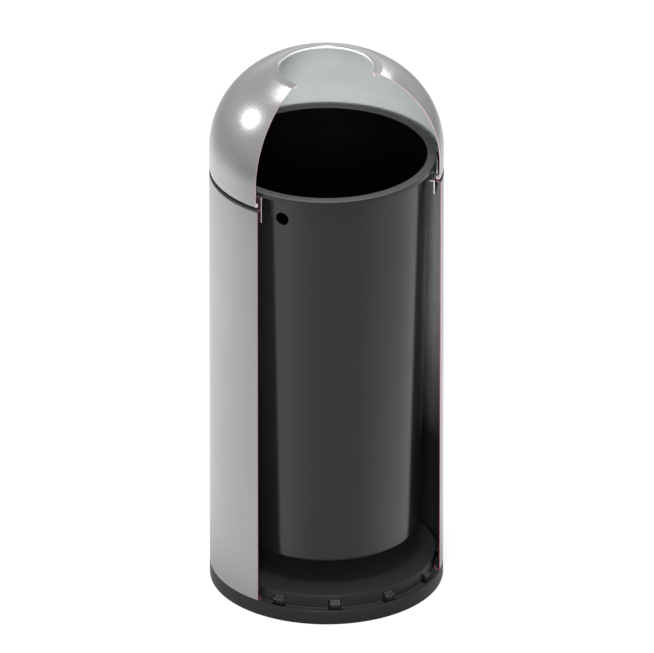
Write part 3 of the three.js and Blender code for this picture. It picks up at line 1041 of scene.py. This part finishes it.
class RECEPTACLE_OT_liner(Operator):
    """Builds the tapered liner with its rim, lip and finger hole"""

    bl_idname = "receptacle.liner"
    bl_label = "Liner"

    def execute(self, context):
        settings = context.scene.receptacle
        liner, finishes = settings.liner, settings.finishes
        column = settings.section.column
        mesh = bmesh.new()
        self.draw_inside(mesh, liner)
        spin_round(mesh, liner.hole_at, FULL_TURN, column)
        self.open_finger_hole(mesh, liner)
        bmesh.ops.recalc_face_normals(mesh, faces=mesh.faces)
        thicken(mesh, liner.thickness)
        for face in mesh.faces:
            on_rim = face.normal.z > 0.3 and face.calc_center_median().z > liner.rim - 0.002
            face.material_index = 0 if self.faces_in(face, liner) else 2 if on_rim else 1
        materials = [
            # painted shade: the inside faces take a far darker colour than the outside
            moulding_surface("liner inside, painted dark", finishes.shaded_liner_inside, roughness=0.8, ior=1.15),
            moulding_surface("satin charcoal liner", finishes.liner, roughness=0.2, ior=1.64),
            # painted highlight on the rim's top faces
            moulding_surface("liner rim with painted highlight", finishes.highlighted_liner_rim, roughness=0.6, ior=1.3),
        ]
        finish_piece(mesh, "liner_pail", "liner", ["liner_bucket"], materials)
        return {"FINISHED"}

    @staticmethod
    def draw_inside(mesh, liner):
        """The raised middle of the bottom, the corner, the wall, the rim and the lip."""
        bottom = liner.low + liner.thickness
        corner_at = bottom + liner.corner
        bend_at = liner.rim - liner.rim_bend
        half_block = 1.5 * liner.hole

        line = Profile(mesh, 0.0, bottom + liner.panel_rise)
        line.straight(liner.panel, bottom + liner.panel_rise, 6)
        line.straight(liner.panel + 1.5 * liner.panel_rise, bottom)
        line.straight(liner.foot_radius - liner.corner, bottom)
        line.bend(liner.foot_radius - liner.corner, corner_at, 90, 6)
        low, high = liner.hole_height - half_block, liner.hole_height + half_block
        line.straight(wall_radius(liner, low), low, 16)
        line.straight(wall_radius(liner, high), high, 8)
        line.straight(liner.top_radius, bend_at, 2)
        line.bend(liner.top_radius + liner.rim_bend, bend_at, -90, 6)
        line.straight(liner.rim_radius - liner.rim_bend, liner.rim)
        line.bend(liner.rim_radius - liner.rim_bend, bend_at, -90, 6)
        line.straight(liner.rim_radius, liner.rim - liner.lip)

    @staticmethod
    def open_finger_hole(mesh, liner):
        """Takes out a block of faces and bridges its edge to a circle on the wall."""
        half_block = 1.5 * liner.hole
        wall = wall_radius(liner, liner.hole_height)

        def near(point, reach=half_block):
            return (
                apart(angle_of(point), liner.hole_at) * wall < reach
                and abs(point.z - liner.hole_height) < reach
            )

        block = chosen(
            mesh.faces, lambda face: near(face.calc_center_median()), "the finger hole"
        )
        bmesh.ops.delete(mesh, geom=block, context="FACES")
        rim = gap_edges(
            mesh, lambda point: near(point, 1.3 * half_block), "the finger hole's edge"
        )
        made = bmesh.ops.create_circle(mesh, segments=len(rim), radius=liner.hole)["verts"]
        for point in made:
            height = liner.hole_height + point.co.y
            turned = liner.hole_at + point.co.x / wall
            point.co = place(wall_radius(liner, height), turned, height)
        circle = list({edge for point in made for edge in point.link_edges})
        bmesh.ops.bridge_loops(mesh, edges=rim + circle)

    @staticmethod
    def faces_in(face, liner):
        """Whether a face belongs to the inside of the bucket."""
        middle = face.calc_center_median()
        inwards = face.normal.dot(Vector((middle.x, middle.y, 0)).normalized()) < -0.5
        floor = face.normal.z > 0.5 and middle.z < liner.low + 0.02
        return floor or (inwards and middle.z < liner.rim - liner.rim_bend / 2)


# ---------------------------------------------------------------- the studio

VIEW_ELEVATION = math.radians(27.0)
LENS = 1500.0  # millimetres: the photograph shows next to no perspective
SENSOR = 36.0
VIEW_WIDTH = 1.0613  # metres that the picture is wide at the receptacle
AIM = Vector((0.0008, 0.0, 0.4466))  # point in the middle of the picture
LAMPS_AIM = Vector((0.0, 0.0, 0.8))  # point in the dome that the lamps shine at
ROOM_LIGHT = 0.6  # strength of the even light from all sides
FLOOR_GLOW = 0.8  # what lifts the floor to white for the camera
SEEN_FLOOR = (0.25, 0.25, 0.25, 1.0)  # the floor's own colour there, which takes the shadow
LIGHTLESS = (0.0, 0.0, 0.0, 1.0)
WHITE = (1.0, 1.0, 1.0, 1.0)

# Name, place, width and height in metres, radiance, shape, and the way its width lies.
# A radiance of 1 shows as white.
LAMPS = (
    ("front_lamp", (-0.3, -5.0, 1.95), (1.0, 1.0), 40.0, "RECTANGLE", (1, 0, 0)),
    ("high_lamp", (-0.05, -2.2, 5.0), (1.2, 1.2), 22.0, "RECTANGLE", (1, 0, 0)),
    ("round_lamp", (-2.62, 0.61, 2.21), (0.6, 0.6), 16.0, "ELLIPSE", (1, 0, 0)),
    ("left_strip", (-1.26, 1.24, 3.25), (1.1, 0.14), 15.0, "RECTANGLE", (0.6, 0.8, 0)),
    ("right_strip", (1.08, 2.45, 2.38), (0.5, 0.16), 22.0, "RECTANGLE", (1, 0, -0.6)),
)


class RECEPTACLE_OT_stage(Operator):
    """Sets up the floor, the lamps, the world and the camera"""

    bl_idname = "receptacle.stage"
    bl_label = "Studio"

    def execute(self, context):
        scene = context.scene
        scene.view_settings.view_transform = "Standard"
        self.add_floor(scene.receptacle.finishes, scene.receptacle.base.foot_inside)
        self.light_world(scene)
        for lamp in LAMPS:
            self.add_lamp(*lamp)
        self.add_camera(scene)
        return {"FINISHED"}

    @staticmethod
    def add_floor(finishes, foot):
        """A pale floor, which the camera sees white, with the object's shadow. Metal
        mirrors it light too, but darker at the front, close by and far off; the
        darkening at the front and close by is painted shade. Under the base, inside
        its foot, it doesn't glow."""
        mesh = bmesh.new()
        bmesh.ops.create_circle(mesh, cap_ends=True, segments=128, radius=6.0)
        data = bpy.data.meshes.new("studio_floor")
        mesh.to_mesh(data)
        mesh.free()
        material, nodes, shader, position = new_material("studio floor", 0.0)
        seen, mirrored = seen_rays(nodes)
        faint = nodes.noise(position, 3.0)
        shade = nodes.varied(faint, finishes.floor, 0.99, 1.01)
        shade = nodes.blend(seen, shade, SEEN_FLOOR)
        shade = nodes.blend(mirrored, shade, LIGHTLESS)
        parts = nodes.parts(position)
        away = nodes.vector_maths("LENGTH", position)["Value"]
        way = nodes.vector_maths("NORMALIZE", position)["Vector"]
        ahead = nodes.vector_maths("DOT_PRODUCT", way, (0.17, -0.985, 0.0))["Value"]
        mirror_glow = nodes.spread(parts[1], -0.4, 0.5, 0.86, 1.17)
        # Painted shade in what metal mirrors: the fall-off straight in front stands for the camera
        # side's shade, the one close by for a contact shadow.
        for value, low, high, to_low, to_high in (
            (ahead, 0.6, 0.97, 1.0, 0.55),  # straight in front
            (parts[0], 0.2, 1.2, 1.0, 0.8),  # to the right
            (away, 0.19, 0.34, 0.62, 1.0),  # close by
            (away, 1.6, 3.0, 1.0, 0.52),  # far off
        ):
            part = nodes.spread(value, low, high, to_low, to_high)
            mirror_glow = nodes.maths("MULTIPLY", mirror_glow, part)
        glow = nodes.spread(mirrored, 0.0, 1.0, FLOOR_GLOW, mirror_glow)
        outside = nodes.spread(away, foot, foot + 2 * FADE)
        strength = nodes.maths("MULTIPLY", nodes.maths("MULTIPLY", seen, outside), glow)
        link(nodes, shader, Base_Color=shade, Emission_Strength=strength)
        shader.inputs["Emission Color"].default_value = WHITE
        shader.inputs["Roughness"].default_value = 0.9
        shader.inputs["Specular IOR Level"].default_value = 0.0
        data.materials.append(material)
        floor = bpy.data.objects.new("studio_floor", data)
        bpy.context.collection.objects.link(floor)

    @staticmethod
    def light_world(scene):
        """A white room, plain white for the camera. Metal mirrors it grey, with a bright
        window low at the back."""
        world = bpy.data.worlds.new("studio")
        world.use_nodes = True
        scene.world = world
        tree = world.node_tree
        tree.nodes.clear()
        nodes = Nodes(tree)
        seen, mirrored = seen_rays(nodes)
        way = nodes.add("ShaderNodeTexCoord").outputs["Generated"]
        parts = nodes.parts(way)
        window = nodes.spread(parts[1], 0.9, 0.98, 0.0, 0.45)
        window = nodes.maths("MULTIPLY", window, nodes.spread(parts[2], 0.03, 0.1))
        back = nodes.spread(parts[1], 0.0, 0.85, 0.68, 0.74)
        back = nodes.maths("MULTIPLY", back, nodes.spread(parts[2], -0.02, 0.1, 0.82, 1.0))
        back = nodes.maths("ADD", back, window)
        strength = nodes.spread(mirrored, 0.0, 1.0, 1.0, back)
        light, white = (
            nodes.add("ShaderNodeBackground", {"Color": WHITE, "Strength": value}).outputs[0]
            for value in (ROOM_LIGHT, strength)
        )
        mixed = nodes.add("ShaderNodeMixShader", {0: seen, 1: light, 2: white}).outputs[0]
        nodes.add("ShaderNodeOutputWorld", {"Surface": mixed})

    @staticmethod
    def add_lamp(name, at, size, radiance, shape, along):
        """A soft lamp, aimed at the dome."""
        data = bpy.data.lights.new(name, "AREA")
        data.shape = shape
        data.size, data.size_y = size
        area = size[0] * size[1] * (math.pi / 4 if shape == "ELLIPSE" else 1.0)
        data.energy = radiance * math.pi * area
        lamp = bpy.data.objects.new(name, data)
        lamp.location = at
        back = (Vector(at) - LAMPS_AIM).normalized()
        side = (Vector(along) - back * back.dot(Vector(along))).normalized()
        lamp.rotation_euler = Matrix((side, back.cross(side), back)).transposed().to_euler()
        bpy.context.collection.objects.link(lamp)

    @staticmethod
    def add_camera(scene):
        data = bpy.data.cameras.new("camera")
        data.sensor_width = SENSOR
        data.lens = LENS
        distance = VIEW_WIDTH * LENS / SENSOR
        back = Vector((0, -math.cos(VIEW_ELEVATION), math.sin(VIEW_ELEVATION)))
        data.clip_start, data.clip_end = 1.0, 2 * distance
        camera = bpy.data.objects.new("camera", data)
        camera.location = AIM + back * distance
        camera.rotation_euler = (-back).to_track_quat("-Z", "Y").to_euler()
        bpy.context.collection.objects.link(camera)
        scene.camera = camera


# ---------------------------------------------------------------- sidebar and registration

PIECES = (
    RECEPTACLE_OT_base,
    RECEPTACLE_OT_shell,
    RECEPTACLE_OT_ring,
    RECEPTACLE_OT_buttons,
    RECEPTACLE_OT_dome,
    RECEPTACLE_OT_liner,
    RECEPTACLE_OT_stage,
)


class RECEPTACLE_PT_build(Panel):
    """Lists what can be built, and the sizes and finishes it is built from"""

    bl_idname = "RECEPTACLE_PT_build"
    bl_label = "Receptacle"
    bl_space_type = "VIEW_3D"
    bl_region_type = "UI"
    bl_category = "Receptacle"

    def draw(self, context):
        settings = context.scene.receptacle
        for operator in PIECES:
            self.layout.operator(operator.bl_idname)
        for name in ReceptacleSettings.__annotations__:
            group = getattr(settings, name)
            box = self.layout.box()
            box.label(text=group.__doc__)
            for prop in type(group).__annotations__:
                box.prop(group, prop)


CLASSES = (
    SectionSizes,
    BaseSizes,
    ShellSizes,
    RingSizes,
    ButtonSizes,
    DomeSizes,
    LinerSizes,
    Finishes,
    ReceptacleSettings,
    *PIECES,
    RECEPTACLE_PT_build,
)


def register():
    for cls in CLASSES:
        bpy.utils.register_class(cls)
    bpy.types.Scene.receptacle = PointerProperty(type=ReceptacleSettings)


def unregister():
    del bpy.types.Scene.receptacle
    for cls in reversed(CLASSES):
        bpy.utils.unregister_class(cls)


def main():
    register()
    bpy.ops.receptacle.base()
    bpy.ops.receptacle.shell()
    bpy.ops.receptacle.ring()
    bpy.ops.receptacle.buttons()
    bpy.ops.receptacle.dome()
    bpy.ops.receptacle.liner()
    bpy.ops.receptacle.stage()


if __name__ == "__main__":
    main()
